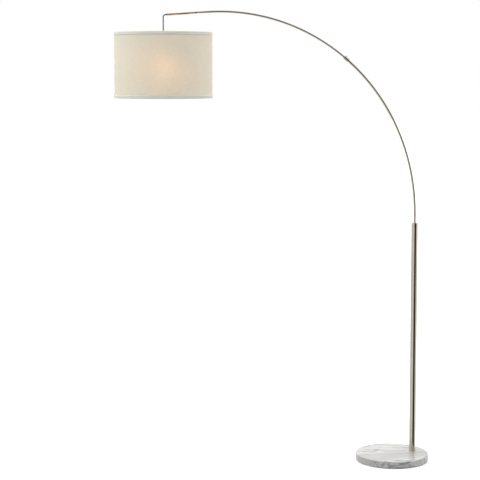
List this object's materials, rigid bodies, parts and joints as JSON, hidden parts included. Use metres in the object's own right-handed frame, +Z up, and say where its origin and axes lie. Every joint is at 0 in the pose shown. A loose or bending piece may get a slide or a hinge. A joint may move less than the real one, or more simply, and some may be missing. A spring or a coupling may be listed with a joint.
{
  "type": "arc floor lamp",
  "caption": "Arc floor lamp: marble disc base, upright metal post, curved tube arm that swivels, and a linen drum shade hanging on its cord.",
  "frame": {"origin": "centre of the underside of the base, on the floor", "axes": "+Z up along the post; the arm curves in the XZ plane and the shade hangs toward -X; Y is across"},
  "size_m": [1.312, 0.3824, 1.851],
  "materials": {
    "marble": "polished white marble with grey veins",
    "felt": "pressed felt",
    "zinc_steel": "zinc-plated steel",
    "satin_nickel": "satin nickel plate over steel tube",
    "rubber": "moulded rubber",
    "nylon": "natural nylon",
    "cord": "black sheathed lamp cord",
    "black_plastic": "moulded black plastic",
    "porcelain": "glazed porcelain",
    "brass": "plain brass",
    "nickel_cap": "nickel-plated brass",
    "white_plastic": "moulded white plastic",
    "led_board": "aluminium board with LEDs",
    "opal": "opal diffuser",
    "white_wire": "white powder coat",
    "liner": "stiff styrene liner",
    "linen": "cream linen",
    "tape": "bias tape"
  },
  "bodies": {
    "base": {"marble_base": "marble", "base_pad": "felt", "base_washer": "zinc_steel", "base_nut": "zinc_steel", "threaded_rod": "zinc_steel", "lead_gland": "rubber", "post_foot_plug": "zinc_steel", "post_tube": "satin_nickel", "post_cap": "satin_nickel", "foot_bush": "nylon", "thrust_washer": "nylon", "base_lead": "cord"},
    "arm": {"arm_lower": "satin_nickel", "arm_collar": "zinc_steel", "arm_ferrule": "satin_nickel", "arm_set_screw": "zinc_steel", "arm_upper": "satin_nickel", "tip_bush": "black_plastic", "arm_lead": "cord"},
    "cord_top": {"cord_bend": "cord"},
    "cord": {"pendant_cord": "cord"},
    "shade": {"cord_grip": "black_plastic", "holder_cap": "satin_nickel", "holder_lead": "cord", "holder_body": "black_plastic", "holder_core": "porcelain", "terminal_screws": "brass", "centre_contact": "brass", "screw_shell": "brass", "shade_clamp_ring": "black_plastic", "bulb_contact": "zinc_steel", "bulb_insulator": "black_plastic", "bulb_cap": "nickel_cap", "bulb_body": "white_plastic", "bulb_board": "led_board", "bulb_globe": "opal", "shade_frame": "white_wire", "shade_bottom_hoop": "white_wire", "shade_liner": "liner", "shade_fabric": "linen", "shade_tape_top": "tape", "shade_tape_bottom": "tape"}
  },
  "joints": [
    {"name": "arm_swivel", "type": "hinge", "parent": "base", "child": "arm", "pos_m": [0.092, 0, 0.989], "axis": [0, 0, 1], "range_deg": [-90, 90]},
    {"name": "shade_sway", "type": "hinge", "parent": "arm", "child": "cord_top", "pos_m": [-0.96023, 0, 1.83209], "axis": [0.9972, 0, 0.075], "range_deg": [-15, 15]},
    {"name": "shade_swing", "type": "hinge", "parent": "cord_top", "child": "cord", "pos_m": [-0.96886, 0, 1.82059], "axis": [0, 1, 0], "range_deg": [-15, 15]},
    {"name": "shade_turn", "type": "hinge", "parent": "cord", "child": "shade", "pos_m": [-0.96886, 0, 1.75789], "axis": [0, 0, 1], "range_deg": [-90, 90]}
  ]
}
